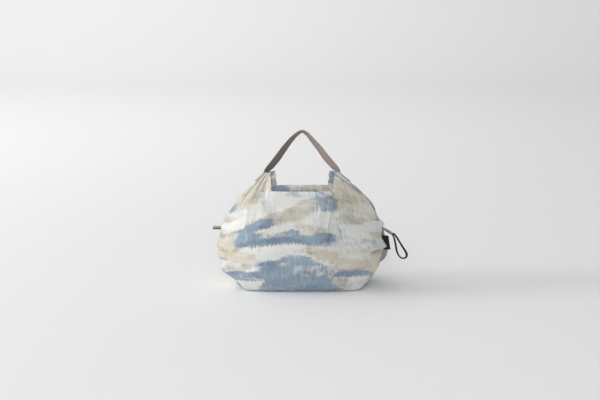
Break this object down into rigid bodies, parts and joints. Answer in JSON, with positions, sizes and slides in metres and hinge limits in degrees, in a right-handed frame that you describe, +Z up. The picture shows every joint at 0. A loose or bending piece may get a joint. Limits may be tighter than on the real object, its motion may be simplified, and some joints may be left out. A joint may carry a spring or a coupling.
{
  "type": "foldable shopping bag",
  "caption": "Light foldable shopping bag of thin printed cloth, open and filled out, with gathered corners, a webbing handle, pull tabs and an elastic loop.",
  "frame": {"origin": "middle of the base, on the surface that the bag stands on", "axes": "+Z up, the front panel faces -Y, and the side with the elastic loop is at +X"},
  "size_m": [0.5105, 0.185, 0.4158],
  "materials": {
    "cloth": "thin printed cloth, soft and slightly matte",
    "webbing": "woven webbing, matte",
    "elastic": "ribbed elastic, matte",
    "label": "plain woven tape, bare"
  },
  "bodies": {
    "root": {"bag_cloth": "cloth", "gusset_left": "cloth", "gusset_right": "cloth", "handle_strap": "webbing", "pull_tab_left": "webbing", "pull_tab_right": "webbing", "elastic_loop": "elastic", "label": "label"}
  },
  "joints": []
}
